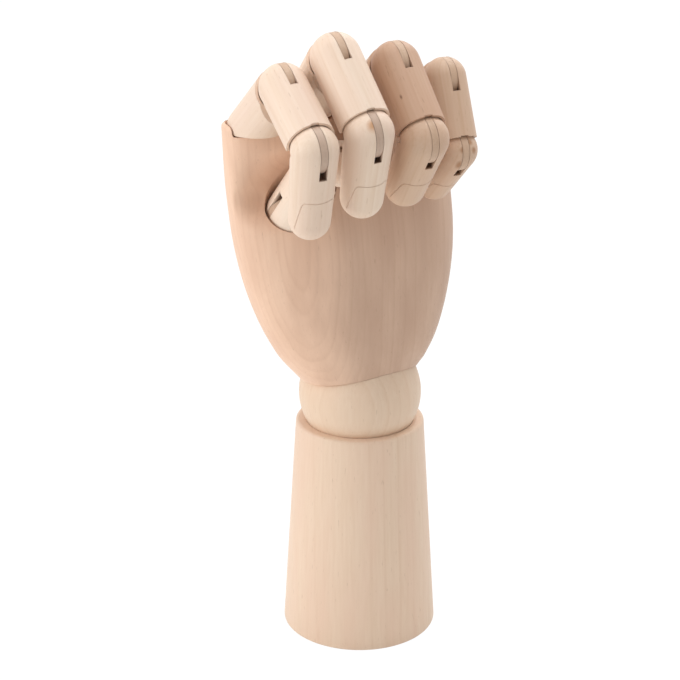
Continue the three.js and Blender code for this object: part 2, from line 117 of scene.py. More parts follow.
def sanded_wood(name, pale, deep, tint, pore, ring_mm, ring_depth, fibre_depth=0.3, painted_light_side=None, knots=()):
    """Fine-grained hardwood, sanded: growth rings about a pith, fibre streaks, short pores, broad tints.
    The attribute grain is a place in the piece's own board in millimetres, with Z along the fibres;
    painted_light_side is painted light: the run in the piece's own X over which the lit side is painted
    paler, and how much paler it is; each knot is a small stain: its place in the board, its radius and its
    colour."""
    material = bpy.data.materials.new(name)
    tree = bare_tree(material)
    grain = add(tree, "ShaderNodeAttribute", attribute_name="grain").outputs["Vector"]
    own = add(tree, "ShaderNodeAttribute", attribute_name="own").outputs["Vector"]
    own_place = add(tree, "ShaderNodeSeparateXYZ", {0: own}).outputs

    # Four noises, each with its size in millimetres across and along the fibres: they sway the rings, draw
    # the fibres, prick the pores as short dashes and cloud the tint. Fibres are about 0.1 mm in the wood,
    # too fine to show, so they are drawn as streaks of 0.9 mm.
    noises = []
    for across, along, detail in ((16, 110, 2.0), (0.9, 30, 3.0), (0.7, 4, 1.0), (11, 60, 2.0)):
        drawn = add(tree, "ShaderNodeVectorMath", {0: grain, 1: (1 / across, 1 / across, 1 / along)},
                    operation="MULTIPLY")
        noises.append(add(tree, "ShaderNodeTexNoise", {"Vector": drawn, "Scale": 1.0, "Detail": detail}))
    sway, fibre, speckle, cloud = noises

    # Growth rings: distance from the pith, swaying a little along the trunk, each year of its own strength.
    flat = add(tree, "ShaderNodeVectorMath", {0: grain, 1: (1, 1, 0)}, operation="MULTIPLY")
    from_pith = add(tree, "ShaderNodeVectorMath", {0: flat}, operation="LENGTH").outputs["Value"]
    swayed = add(tree, "ShaderNodeMath", {0: sway, 1: RING_SWAY * ring_mm, 2: from_pith},
                 operation="MULTIPLY_ADD")
    years = add(tree, "ShaderNodeMath", {0: swayed, 1: 1 / ring_mm}, operation="MULTIPLY")
    season = add(tree, "ShaderNodeMath", {0: years}, operation="FRACT")
    year = add(tree, "ShaderNodeMath", {0: years}, operation="FLOOR")
    strength = add(tree, "ShaderNodeTexWhiteNoise", {"W": year}, noise_dimensions="1D")
    ring = add(tree, "ShaderNodeValToRGB", {"Fac": season})
    stops = ring.color_ramp.elements
    stops[0].position, stops[0].color = 0.0, (0.1, 0.1, 0.1, 1)
    stops[1].position, stops[1].color = 1.0, (0.1, 0.1, 0.1, 1)
    for place, value in ((0.5, 0.35), (0.8, 1.0), (0.93, 0.3)):
        stops.new(place).color = (value, value, value, 1)
    rings = add(tree, "ShaderNodeMath", {0: ring, 1: strength}, operation="MULTIPLY")

    # The colours lie over each other: pale wood, then rings and fibres, the tint and the pores.
    streak = add(tree, "ShaderNodeMapRange", {0: fibre, 1: 0.3, 2: 0.75, 3: 0.0, 4: fibre_depth})
    depth = add(tree, "ShaderNodeMath", {0: rings, 1: ring_depth, 2: streak}, operation="MULTIPLY_ADD",
                use_clamp=True)
    tinted = add(tree, "ShaderNodeMapRange", {0: cloud, 1: 0.35, 2: 0.75, 3: 0.0, 4: 0.6})
    pores = add(tree, "ShaderNodeMapRange", {0: speckle, 1: 0.69, 2: 0.82})
    pricked = add(tree, "ShaderNodeMath", {0: pores, 1: 0.3}, operation="MULTIPLY")
    skin = colour(pale)
    for amount, stain in ((depth, deep), (tinted, tint), (pricked, pore)):
        skin = add(tree, "ShaderNodeMix", {0: amount, 6: skin, 7: colour(stain)},
                   data_type="RGBA").outputs[2]
    # Painted light: the piece's lit side is painted paler, fading over a ragged run in its own X.
    if painted_light_side:
        start, end, lit_gain = painted_light_side
        ragged = add(tree, "ShaderNodeMath", {0: cloud, 1: PAINTED_LIGHT_RAGGED, 2: own_place["X"]},
                     operation="MULTIPLY_ADD")
        painted_lift = add(tree, "ShaderNodeMapRange", {
            0: ragged, 1: start + PAINTED_LIGHT_RAGGED / 2, 2: end + PAINTED_LIGHT_RAGGED / 2, 3: lit_gain, 4: 1.0},
            interpolation_type="SMOOTHSTEP")
        skin = add(tree, "ShaderNodeVectorMath", {0: skin, "Scale": painted_lift}, operation="SCALE")
    for place, radius, stain in knots:
        away = add(tree, "ShaderNodeVectorMath", {0: grain, 1: place}, operation="SUBTRACT")
        drawn = add(tree, "ShaderNodeVectorMath", {0: away, 1: (1, 1, 0.5)}, operation="MULTIPLY")
        reach = add(tree, "ShaderNodeVectorMath", {0: drawn}, operation="LENGTH").outputs["Value"]
        inside = add(tree, "ShaderNodeMapRange", {0: reach, 1: radius, 2: 0.3 * radius, 4: 0.75})
        skin = add(tree, "ShaderNodeMix", {0: inside, 6: skin, 7: colour(stain)},
                   data_type="RGBA").outputs[2]

    # Painted shade inside a slot: its walls are painted dark brown where shadow falls, more the deeper they
    # lie below the turned girth, between the slot's walls and not above its end.
    girth = add(tree, "ShaderNodeAttribute", attribute_name="girth").outputs["Fac"]
    lower = add(tree, "ShaderNodeVectorMath", {0: own, 1: (1000, 1000, 0)}, operation="MINIMUM")
    from_core = add(tree, "ShaderNodeVectorMath", {0: lower}, operation="LENGTH").outputs["Value"]
    under = add(tree, "ShaderNodeMath", {0: girth, 1: from_core}, operation="SUBTRACT")
    above = add(tree, "ShaderNodeMath", {0: girth, 1: -1.25, 2: own_place["Z"]}, operation="MULTIPLY_ADD")
    aside = add(tree, "ShaderNodeMath", {0: own_place["X"]}, operation="ABSOLUTE")
    slot_shade = add(tree, "ShaderNodeMapRange", {0: under, 1: 0.6, 2: 1.6, 3: 0.0, 4: 0.9})
    for limit, threshold in ((above, 0.0), (aside, SLOT_WIDTH / 2 + 0.05)):
        within = add(tree, "ShaderNodeMath", {0: limit, 1: threshold}, operation="LESS_THAN")
        slot_shade = add(tree, "ShaderNodeMath", {0: slot_shade, 1: within}, operation="MULTIPLY")
    skin = add(tree, "ShaderNodeMix", {0: slot_shade, 6: skin, 7: colour(SLOT_PAINTED_SHADE)},
               data_type="RGBA").outputs[2]

    # Sanding rounds the edges and leaves the fibres a little proud of the pores, half matt.
    eased = add(tree, "ShaderNodeBevel", {"Radius": SANDED_EDGE * MM}, samples=4)
    relief = add(tree, "ShaderNodeMath", {0: pores, 1: -0.7, 2: fibre}, operation="MULTIPLY_ADD")
    bump = add(tree, "ShaderNodeBump", {"Height": relief, "Strength": 0.4, "Distance": FIBRE_RELIEF * MM,
                                        "Normal": eased})
    rough = add(tree, "ShaderNodeMapRange", {0: fibre, 1: 0.3, 2: 0.7, 3: 0.48, 4: 0.6})
    shader = add(tree, "ShaderNodeBsdfPrincipled", {
        "Base Color": skin, "Roughness": rough, "Normal": bump, "IOR": 1.5, "Sheen Weight": 0.1,
        "Sheen Roughness": 0.4})
    add(tree, "ShaderNodeOutputMaterial", {"Surface": shader})
    return material


def node_tree(name, inputs):
    """A geometry tree with named inputs and one geometry output; gives the tree and its input sockets."""
    tree = bpy.data.node_groups.new(name, "GeometryNodeTree")
    for label, kind in inputs.items():
        tree.interface.new_socket(label, in_out="INPUT", socket_type=f"NodeSocket{kind}")
    tree.interface.new_socket("Body", in_out="OUTPUT", socket_type="NodeSocketGeometry")
    return tree, add(tree, "NodeGroupInput").outputs


def ended(tree, shape, finish):
    """Ends a geometry tree: its shape as one plain mesh with one material."""
    plain = add(tree, "GeometryNodeRealizeInstances", {"Geometry": shape})
    finished = add(tree, "GeometryNodeSetMaterial", {"Geometry": plain, "Material": finish})
    add(tree, "NodeGroupOutput", {0: finished})
    return tree


def on_circle(tree, turn, radius):
    """The two reaches of a point on a circle at a turn, by the turn's cosine and by its sine."""
    reaches = []
    for wave in ("COSINE", "SINE"):
        lever = add(tree, "ShaderNodeMath", {0: turn}, operation=wave)
        reaches.append(add(tree, "ShaderNodeMath", {0: radius, 1: lever}, operation="MULTIPLY"))
    return reaches


def lathe_tree():
    """Turns the points of a profile, radius in X and height in Z, about the Z axis."""
    tree, given = node_tree("turned_on_a_lathe", {"Profile": "Geometry", "Sides": "Int",
                                                  "Finish": "Material"})
    size = add(tree, "GeometryNodeAttributeDomainSize", {"Geometry": given["Profile"]}, component="MESH")
    count = size.outputs["Point Count"]
    columns = add(tree, "ShaderNodeMath", {0: given["Sides"], 1: 1.0}, operation="ADD")
    grid = add(tree, "GeometryNodeMeshGrid", {"Vertices X": columns, "Vertices Y": count})
    position = add(tree, "GeometryNodeInputPosition")
    place = add(tree, "ShaderNodeSeparateXYZ", {0: position}).outputs
    turn = add(tree, "ShaderNodeMath", {0: place["X"], 1: 2 * math.pi, 2: math.pi},
               operation="MULTIPLY_ADD")
    last = add(tree, "ShaderNodeMath", {0: count, 1: 1.0}, operation="SUBTRACT")
    share = add(tree, "ShaderNodeMath", {0: place["Y"], 1: 0.5}, operation="ADD")
    row = add(tree, "ShaderNodeMath", {0: share, 1: last}, operation="MULTIPLY")
    whole = add(tree, "ShaderNodeMath", {0: row}, operation="ROUND")
    point = add(tree, "GeometryNodeSampleIndex", {"Geometry": given["Profile"], "Value": position,
                                                  "Index": whole}, data_type="FLOAT_VECTOR")
    outline = add(tree, "ShaderNodeSeparateXYZ", {0: point.outputs["Value"]}).outputs
    x, y = on_circle(tree, turn, outline["X"])
    spun = add(tree, "ShaderNodeCombineXYZ", {0: x, 1: y, 2: outline["Z"]})
    turned = add(tree, "GeometryNodeSetPosition", {"Geometry": grid, "Position": spun})
    closed = add(tree, "GeometryNodeMergeByDistance", {"Geometry": turned, "Distance": WELD})
    return ended(tree, closed, given["Finish"])


def placed(name, data):
    """A new object in the scene."""
    made = bpy.data.objects.new(name, data)
    bpy.context.scene.collection.objects.link(made)
    return made


def grown(tree, points, sizes):
    """Runs a geometry tree on a line of points with the given sizes and returns the plain mesh it makes."""
    line = bpy.data.meshes.new("line")
    line.from_pydata(points, [(i, i + 1) for i in range(len(points) - 1)], [])
    holder = placed("holder", line)
    modifier = holder.modifiers.new("made", "NODES")
    modifier.node_group = tree
    for item in tree.interface.items_tree:
        if item.in_out == "INPUT" and item.name in sizes:
            modifier[item.identifier] = sizes[item.name]
    graph = bpy.context.evaluated_depsgraph_get()
    mesh = bpy.data.meshes.new_from_object(holder.evaluated_get(graph))
    holder.modifiers.remove(modifier)
    bpy.data.objects.remove(holder)
    bpy.data.meshes.remove(line)
    return mesh


def shaped(mesh_steps):
    """A mesh from bmesh steps, its faces turned outwards."""
    form = bmesh.new()
    mesh_steps(form)
    bmesh.ops.recalc_face_normals(form, faces=form.faces)
    mesh = bpy.data.meshes.new("form")
    form.to_mesh(mesh)
    form.free()
    return mesh


def round_bar(place, radius, length):
    middle = place @ Matrix.Translation((0, 0, length / 2))
    return shaped(lambda form: bmesh.ops.create_cone(
        form, cap_ends=True, segments=CUTTER_SIDES, radius1=radius, radius2=radius, depth=length,
        matrix=middle))


def carved(mesh, cutters, finish):
    """Cuts the cutters out of a mesh, one after the other, and gives the result its one material."""
    block = placed("block", mesh)
    tools = [placed("tool", cutter) for cutter in cutters]
    for tool in tools:
        cut = block.modifiers.new("cut", "BOOLEAN")
        cut.operation, cut.solver, cut.object = "DIFFERENCE", "MANIFOLD", tool
    graph = bpy.context.evaluated_depsgraph_get()
    result = bpy.data.meshes.new_from_object(block.evaluated_get(graph))
    for spent in (block, *tools):
        bpy.data.objects.remove(spent)
    result.materials.clear()
    result.materials.append(finish)
    return result


def cleaned(mesh):
    """Takes the crumbs off a cut mesh: points closer than a crumb, faces without area, loose chips."""
    form = bmesh.new()
    form.from_mesh(mesh)
    bmesh.ops.remove_doubles(form, verts=form.verts, dist=CRUMB)
    bmesh.ops.dissolve_degenerate(form, edges=form.edges, dist=CRUMB)
    islands, unseen = [], set(form.verts)
    while unseen:
        island, fringe = set(), [unseen.pop()]
        while fringe:
            at = fringe.pop()
            island.add(at)
            near = {e.other_vert(at) for e in at.link_edges} & unseen
            unseen -= near
            fringe.extend(near)
        islands.append(island)
    largest = max(islands, key=len)
    bmesh.ops.delete(form, geom=[v for v in form.verts if v not in largest], context="VERTS")
    form.to_mesh(mesh)
    form.free()


def fitted(name, mesh, place, body, node, board=Matrix(), girth=0.0):
    """Makes a mesh in millimetres a piece in its place: notes where it lay in its board and how thick it
    was turned, moves it into the frame, keeps creases sharp, and lets it stand for its solid and ride on
    its body, where it has a single one."""
    cleaned(mesh)
    for label, seat in (("grain", board), ("own", Matrix())):
        noted = mesh.attributes.new(label, "FLOAT_VECTOR", "POINT")
        noted.data.foreach_set("vector", [c for v in mesh.vertices for c in seat @ v.co])
    noted = mesh.attributes.new("girth", "FLOAT", "POINT")
    noted.data.foreach_set("value", [girth] * len(mesh.vertices))
    mesh.transform(place @ Matrix.Scale(MM, 4))
    mesh.shade_smooth()
    mesh.set_sharp_from_angle(angle=math.radians(CREASE_ANGLE))
    piece = placed(name, mesh)
    if body:
        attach(piece, body)
    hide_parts(node)
    return piece


def arc(radius, centre, middle, start, end, steps):
    """Profile points on an arc about (centre, middle); angles in degrees from the cross plane."""
    turns = [math.radians(start + (end - start) * i / steps) for i in range(steps + 1)]
    return [(max(centre + radius * math.cos(a), 0.0), 0.0, middle + radius * math.sin(a)) for a in turns]


def backwards(front, height):
    """A place on the centre plane whose Z axis runs from the front to the back of the hand."""
    return Matrix.Translation((0, front, height)) @ Matrix.Rotation(-math.pi / 2, 4, "X")


def pin_room(front, height):
    """The bore that a spring pin is driven into from the back."""
    return round_bar(backwards(front - PIN_GAP, height), SPRING_PIN_RADIUS + PIN_GAP, PIN_ROOM_LENGTH)


# Turned along the grain and sanded: pale upright streaks with a faint pink, half matt all round.
base_wood = sanded_wood("turned_pale_hardwood", pale="#E9CFB7", deep="#D3AF8F", tint="#E6C4AD",
                        pore="#9C7650", ring_mm=3.2, ring_depth=0.24, fibre_depth=0.2)
lathe = lathe_tree()
seat_radius = BALL_RADIUS + BALL_SEAT_GAP
cup_edge = -math.degrees(math.asin((BALL_CENTRE - BASE_HEIGHT) / seat_radius))
cup_floor = -math.degrees(math.acos(SPRING_BORE_RADIUS / seat_radius))
base_outline = [
    (0.0, 0.0, 0.0),
    *arc(BASE_FOOT_ROUND, BASE_FOOT_RADIUS - BASE_FOOT_ROUND, BASE_FOOT_ROUND, -90, 0, 4),
    *[(BASE_FOOT_RADIUS + (BASE_TOP_RADIUS - BASE_FOOT_RADIUS) * i / 12, 0.0,
       BASE_FOOT_ROUND + (BASE_HEIGHT - BASE_RIM_ROUND - BASE_FOOT_ROUND) * i / 12) for i in range(1, 12)],
    *arc(BASE_RIM_ROUND, BASE_TOP_RADIUS - BASE_RIM_ROUND, BASE_HEIGHT - BASE_RIM_ROUND, 0, 90, 6),
    *arc(seat_radius, 0.0, BALL_CENTRE, cup_edge, cup_floor, 16),
    (SPRING_BORE_RADIUS, 0.0, SPRING_BORE_FLOOR),
    (0.0, 0.0, SPRING_BORE_FLOOR),
]
base_mesh = grown(lathe, base_outline, {"Sides": LATHE_SIDES, "Finish": base_wood})
base_mesh = carved(base_mesh, [pin_room(BASE_PIN_FRONT, BASE_PIN_HEIGHT)], base_wood)
fitted("base_turned", base_mesh, Matrix(), "forearm", "forearm_base",
       board=Matrix.Translation(BASE_PITH))

# Spring pins: two straight steel pins, cut from drawn rod with broken edges, driven in from the back
# across the bores of base and palm. The spring's hooks hang on them.
BASE_PIN_BACK = 27.2
PALM_LEAN = 6.5
PALM_PIN_RISE = 29.0
PALM_PIN_FRONT = -14.7
PALM_PIN_BACK = 20.3
PIN_CHAMFER = 0.2
PIN_SIDES = 48


def drawn_steel(name, tone):
    """Bright drawn steel: fine lengthwise scratches, drawn 0.2 mm wide because the real ones would be too
    fine to show."""
    material = bpy.data.materials.new(name)
    tree = bare_tree(material)
    grain = add(tree, "ShaderNodeAttribute", attribute_name="grain").outputs["Vector"]
    drawn = add(tree, "ShaderNodeVectorMath", {0: grain, 1: (1 / 0.2, 1 / 0.2, 1 / 5)},
                operation="MULTIPLY")
    scratch = add(tree, "ShaderNodeTexNoise", {"Vector": drawn, "Scale": 1.0, "Detail": 2.0})
    rough = add(tree, "ShaderNodeMapRange", {0: scratch, 1: 0.3, 2: 0.7, 3: 0.25, 4: 0.42})
    shader = add(tree, "ShaderNodeBsdfPrincipled", {"Base Color": colour(tone), "Metallic": 1.0,
                                                    "Roughness": rough})
    add(tree, "ShaderNodeOutputMaterial", {"Surface": shader})
    return material


def pin_outline(radius, length):
    edge = PIN_CHAMFER
    return [(0, 0, 0), (radius - edge, 0, 0), (radius, 0, edge), (radius, 0, length - edge),
            (radius - edge, 0, length), (0, 0, length)]


# Rod drawn through a die: bright, with a streaked shine along its length.
pin_steel = drawn_steel("drawn_steel_rod", "#B9BCC0")
ball_place = Matrix.Translation((0, 0, BALL_CENTRE * MM))
palm_place = ball_place @ Matrix.Rotation(-math.radians(PALM_LEAN), 4, "Y")
for name, hold, body, front, back, height in (
        ("base_spring_pin", Matrix(), "forearm", BASE_PIN_FRONT, BASE_PIN_BACK, BASE_PIN_HEIGHT),
        ("palm_spring_pin", palm_place, "palm", PALM_PIN_FRONT, PALM_PIN_BACK, PALM_PIN_RISE)):
    outline = pin_outline(SPRING_PIN_RADIUS, back - front)
    mesh = grown(lathe, outline, {"Sides": PIN_SIDES, "Finish": pin_steel})
    set_in = Matrix.Scale(MM, 4) @ backwards(front, height) @ Matrix.Scale(1 / MM, 4)
    fitted(f"{name}_drawn", mesh, hold @ set_in, body, name)

# Wrist spring: a tension spring wound from steel wire, its two end hooks hung on the spring pins. It
# pulls base, ball and palm together, hidden in their bores. It is drawn in two halves that meet in the
# ball.
SPRING_COIL_RADIUS = 3.1
SPRING_WIRE_RADIUS = 0.55
SPRING_TURNS = 11
SPRING_RAMP = 0.14
SPRING_BEND = (6.0, 32.0)
WIRE_SIDES = 12
HOOK_STEPS = 16
COIL_STEPS = 24


def wire_tree():
    """A round wire along a line of points, closed at both ends."""
    tree, given = node_tree("wire_along_a_line", {"Line": "Geometry", "Wire Radius": "Float",
                                                  "Sides": "Int", "Finish": "Material"})
    path = add(tree, "GeometryNodeMeshToCurve", {"Mesh": given["Line"]})
    section = add(tree, "GeometryNodeCurvePrimitiveCircle", {"Resolution": given["Sides"],
                                                             "Radius": given["Wire Radius"]})
    wire = add(tree, "GeometryNodeCurveToMesh", {"Curve": path, "Profile Curve": section,
                                                 "Fill Caps": True})
    return ended(tree, wire, given["Finish"])


def wound(share):
    """How much of the winding is done at a share of the spring's run: the coils start and end gently."""
    if share > 0.5:
        return 1 - wound(1 - share)
    x = min(share / SPRING_RAMP, 1.0)
    gentle = SPRING_RAMP * (x**3 - x**4 / 2)
    return (gentle + max(share - SPRING_RAMP, 0.0)) / (1 - SPRING_RAMP)


palm_pin = palm_place @ Vector((0, 0, PALM_PIN_RISE * MM)) / MM
base_pin = Vector((0, 0, BASE_PIN_HEIGHT))
run = (palm_pin - base_pin).length
spring_line = []
for i in range(HOOK_STEPS):
    a = math.pi * (1 + i / HOOK_STEPS)
    spring_line.append((SPRING_COIL_RADIUS * math.cos(a), 0.0, SPRING_COIL_RADIUS * math.sin(a)))
for i in range(SPRING_TURNS * COIL_STEPS + 1):
    share = i / (SPRING_TURNS * COIL_STEPS)
    a = 2 * math.pi * SPRING_TURNS * wound(share)
    spring_line.append((SPRING_COIL_RADIUS * math.cos(a), SPRING_COIL_RADIUS * math.sin(a), run * share))
for i in range(1, HOOK_STEPS + 1):
    a = math.pi * i / HOOK_STEPS
    spring_line.append((SPRING_COIL_RADIUS * math.cos(a), 0.0, run + SPRING_COIL_RADIUS * math.sin(a)))
# Hard-drawn wire: the same streaked shine, a shade darker than the pins.
spring_steel = drawn_steel("spring_steel_wire", "#A9ADB2")
spring_turn = math.atan2(palm_pin.x - base_pin.x, palm_pin.z - base_pin.z)
spring_place = Matrix.Translation(base_pin * MM) @ Matrix.Rotation(spring_turn, 4, "Y")
wire = wire_tree()
middle = HOOK_STEPS + round(SPRING_TURNS * COIL_STEPS * (BALL_CENTRE - BASE_PIN_HEIGHT) / run)
near_ball, far_from_ball = SPRING_BEND
for name, line, bodies, bend in (
        ("spring_wound_lower", spring_line[:middle + 1], ("spring", "ball"), (-far_from_ball, -near_ball)),
        ("spring_wound_upper", spring_line[middle:], ("ball", "palm"), (near_ball, far_from_ball))):
    mesh = grown(wire, line, {"Wire Radius": SPRING_WIRE_RADIUS, "Sides": WIRE_SIDES,
                              "Finish": spring_steel})
    half = fitted(name, mesh, spring_place, None, "wrist_spring")
    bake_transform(half)

# Wrist ball: a wooden ball, turned and sanded, that sits in the cups of base and palm and is bored
# through for the spring. Nothing but friction holds it where it is turned to.
BALL_PITH = (34.0, 42.0, 15.0)
# The base's pale wood with a closer, plainer grain, whose rings lie across the ball as faint arcs.
ball_wood = sanded_wood("turned_pale_ball", pale="#E7CEB6", deep="#D4B191", tint="#E5C6AA",
                        pore="#A5825A", ring_mm=2.6, ring_depth=0.28, fibre_depth=0.22)
bore_edge = math.degrees(math.acos(SPRING_BORE_RADIUS / BALL_RADIUS))
ball_outline = arc(BALL_RADIUS, 0.0, 0.0, -bore_edge, bore_edge, 56)
ball_mesh = grown(lathe, [*ball_outline, ball_outline[0]], {"Sides": LATHE_SIDES, "Finish": ball_wood})
fitted("ball_turned", ball_mesh, ball_place, "ball", "wrist_ball",
       board=Matrix.Translation(BALL_PITH))

# Palm: carved from one darker, pinkish block, nearly round at the wrist and wide and flat at the
# knuckles, with four notches for the fingers, a valley with a small dish that the thumb swings over,
# and the ball's cup below. Its board leans, so the growth rings show as nested arcs above the wrist.
PALM_SHIFT = 1.0
PALM_SHIFT_RUN = 30.0
# Each station is a height above the ball's centre, a half width and a half depth.
PALM_STATIONS = ((10, 24.8, 20.5), (24, 33.8, 21.7), (46, 41.2, 22.0), (70, 45.0, 21.4),
                 (98, 45.8, 16.0), (124, 44.2, 14.4))
PALM_EDGE_ROUND = 2.2
PALM_CREST = 3.2
PALM_CORNER_RISE = 1.5
PALM_CORNER_DROP = 4.5
PALM_SQUARENESS = (2.0, 2.6)
WRIST_ARCH = 13.8
WRIST_DROP_THUMB = 1.8
WRIST_DROP_FAR = 6.1
PALM_SIDES = 192
PALM_RINGS = 96
PALM_BORE_TOP = 36.0
CUTTER_RINGS = 64
PALM_PITH = Vector((-25.0, -16.5, 92.0))
PALM_PITH_LEAN = Vector((0.095, 0.19, 1.0))
VALLEY_MIDDLE = (-26.0, 94.0)
VALLEY_HALF_WIDTHS = (22.0, 19.0)
VALLEY_REACH = (13.5, 21.0)
VALLEY_DEPTH = 10.0
VALLEY_FADE = 6.0
DISH_MIDDLE = (-39.0, 92.0)
DISH_HALVES = (8.0, 7.5)
DISH_DEPTH = 1.5
FINGER_NAMES = ("index", "middle", "ring", "little")
JOINT_RADII = {"index": (9.8, 9.0, 8.7), "middle": (9.6, 9.4, 9.1), "ring": (9.4, 9.2, 8.9),
               "little": (8.4, 8.1, 7.8), "thumb": (10.3, 9.1)}
SOCKET_CLEARANCE = 0.35
SOCKET_EASE = 1.015
THUMB_SOCKET_CLEARANCE = 0.15
FAN_CORNER = 0.2
TONGUE_GAP = 0.3
TONGUE_SHANK = 0.55
MORTISE_DEPTH = 6.5
DOME_GAP = 0.3
THUMB_SWING = (-28.0, 6.0)
THUMB_TONGUE_LEAN = 30.0

joints = {j["name"]: j for j in frame["joints"]}


def joint_place(name):
    return Vector(joints[name]["pos_m"])


def facing(origin, axis, along):
    """A frame at origin with X on the hinge axis and Z along the segment."""
    x = Vector(axis).normalized()
    z = (along - x * along.dot(x)).normalized()
    turn = Matrix((x, z.cross(x), z)).transposed().to_4x4()
    return Matrix.Translation(origin) @ turn


def bent(place, degrees):
    return place @ Matrix.Rotation(math.radians(degrees), 4, "X")


def spaced(stations, at, column):
    """A smooth line through the stations' values in a column, read at a height."""
    i = max(0, min(len(stations) - 2, sum(at > s[0] for s in stations) - 1))
    a, b = stations[i], stations[i + 1]
    left, right = stations[max(i - 1, 0)], stations[min(i + 2, len(stations) - 1)]
    run = b[0] - a[0]
    t = (at - a[0]) / run
    lean_a = (b[column] - left[column]) / (b[0] - left[0]) * run
    lean_b = (right[column] - a[column]) / (right[0] - a[0]) * run
    return ((2 * t**3 - 3 * t**2 + 1) * a[column] + (t**3 - 2 * t**2 + t) * lean_a
            + (3 * t**2 - 2 * t**3) * b[column] + (t**3 - t**2) * lean_b)


def globe(place, radius):
    return shaped(lambda form: bmesh.ops.create_uvsphere(
        form, u_segments=CUTTER_SIDES, v_segments=CUTTER_RINGS, radius=radius, matrix=place))


def box(place, size, middle):
    spread = place @ Matrix.Translation(middle) @ Matrix.Diagonal((*size, 1))
    return shaped(lambda form: bmesh.ops.create_cube(form, size=1, matrix=spread))


def fan(place, half_width, reach, start, end):
    """The wedge that a finger of that half width sweeps about the hinge, its last corner rounded."""
    turns = [i / 24 for i in range(25)]
    widths = [half_width * (1 - FAN_CORNER * max(0.0, 6 * t - 5) ** 2) for t in turns]
    bends = [math.radians(start + (end - start) * t) for t in turns]

    def steps(form):
        hinge = [form.verts.new(place @ Vector((x, 0, 0))) for x in (-half_width, half_width)]
        rim = [[form.verts.new(place @ Vector((x, -reach * math.sin(b), reach * math.cos(b))))
                for x in (-w, w)] for w, b in zip(widths, bends)]
        for a, b in zip(rim, rim[1:]):
            form.faces.new((a[0], b[0], b[1], a[1]))
            form.faces.new((hinge[0], b[0], a[0]))
            form.faces.new((hinge[1], a[1], b[1]))
        form.faces.new((hinge[0], rim[0][0], rim[0][1], hinge[1]))
        form.faces.new((hinge[1], rim[-1][1], rim[-1][0], hinge[0]))

    return shaped(steps)


def in_palm(place):
    """A frame of the whole hand as one in the palm's own millimetres."""
    turn = palm_place.to_quaternion().inverted() @ place.to_quaternion()
    origin = palm_place.inverted() @ place.translation / MM
    return Matrix.Translation(origin) @ turn.to_matrix().to_4x4()


knuckles = [in_palm(Matrix.Translation(joint_place(f"{n}_knuckle"))).translation for n in FINGER_NAMES]
crest_line = [(k.x, k.z + PALM_CREST) for k in knuckles]
top_up, top_half_width, _ = PALM_STATIONS[-1]
crest_line.insert(0, (PALM_SHIFT - top_half_width, crest_line[0][1] + PALM_CORNER_RISE))
crest_line.append((PALM_SHIFT + top_half_width, crest_line[-1][1] - PALM_CORNER_DROP))


def hollowed(x, y, z):
    """How deep the front of the palm is carved away at a place, for the thumb's valley and its dish."""
    def eased(run, half):
        return (1 - min(1.0, abs(run) / half) ** 2) ** 2

    run_x, run_z = x - VALLEY_MIDDLE[0], z - VALLEY_MIDDLE[1]
    valley = eased(run_x, VALLEY_HALF_WIDTHS[run_x > 0]) * eased(run_z, VALLEY_REACH[run_z > 0])
    dish = 1 - ((x - DISH_MIDDLE[0]) / DISH_HALVES[0]) ** 2 - ((z - DISH_MIDDLE[1]) / DISH_HALVES[1]) ** 2
    in_front = min(1.0, max(0.0, -y) / VALLEY_FADE)
    return in_front * (VALLEY_DEPTH * valley + DISH_DEPTH * max(0.0, dish))


def palm_block(form):
    """Rings of the palm from the wrist up, then the rounded upper edge and the crest."""
    low, low_half_width, _ = PALM_STATIONS[0]
    rows = [(i / PALM_RINGS, 0.0, 1.0) for i in range(PALM_RINGS + 1)]
    rows += [(1.0, a, 1.0) for a in (15, 30, 45, 60, 75, 90)]
    rows += [(1.0, 90, r) for r in (0.9, 0.75, 0.6, 0.45, 0.3, 0.15)]
    rings = []
    for share, edge, reach in rows:
        up = low + share * (top_up - low)
        half_width, half_depth = (spaced(PALM_STATIONS, up, c) for c in (1, 2))
        run = min(max(up / PALM_SHIFT_RUN, 0.0), 1.0)
        shift = PALM_SHIFT * run * run * (3 - 2 * run)
        power = 2 / (PALM_SQUARENESS[0] + share * (PALM_SQUARENESS[1] - PALM_SQUARENESS[0]))
        inset = PALM_EDGE_ROUND * (1 - math.cos(math.radians(edge)))
        ring = []
        for k in range(PALM_SIDES):
            c, s = math.cos(2 * math.pi * k / PALM_SIDES), math.sin(2 * math.pi * k / PALM_SIDES)
            x = shift + reach * math.copysign(abs(c) ** power, c) * (half_width - inset)
            y = reach * math.copysign(abs(s) ** power, s) * (half_depth - inset)
            crest = spaced(crest_line, x, 1) - PALM_EDGE_ROUND
            drop = WRIST_DROP_THUMB if x < 0 else WRIST_DROP_FAR
            wrist = WRIST_ARCH - drop * min(1.0, (x / low_half_width) ** 2)
            z = wrist + share * (crest - wrist) + PALM_EDGE_ROUND * math.sin(math.radians(edge))
            ring.append(form.verts.new((x, y + hollowed(x, y, z), z)))
        rings.append(ring)
    for below, above in zip(rings, rings[1:]):
        for k in range(PALM_SIDES):
            n = (k + 1) % PALM_SIDES
            form.faces.new((below[k], below[n], above[n], above[k]))
    floor = form.verts.new((0, 0, WRIST_ARCH))
    crown = form.verts.new((PALM_SHIFT, 0, spaced(crest_line, PALM_SHIFT, 1)))
    for k in range(PALM_SIDES):
        n = (k + 1) % PALM_SIDES
        form.faces.new((rings[0][n], rings[0][k], floor))
        form.faces.new((rings[-1][k], rings[-1][n], crown))


def mortise(place, radius):
    """The pocket that a tongue's shank is glued into, below a joint of that radius."""
    depth = 2 * radius + MORTISE_DEPTH
    middle = depth / 2 - (radius + DOME_GAP + MORTISE_DEPTH)
    return box(place, (SLOT_WIDTH, 2 * (TONGUE_SHANK * radius + TONGUE_GAP), depth), (0, 0, middle))


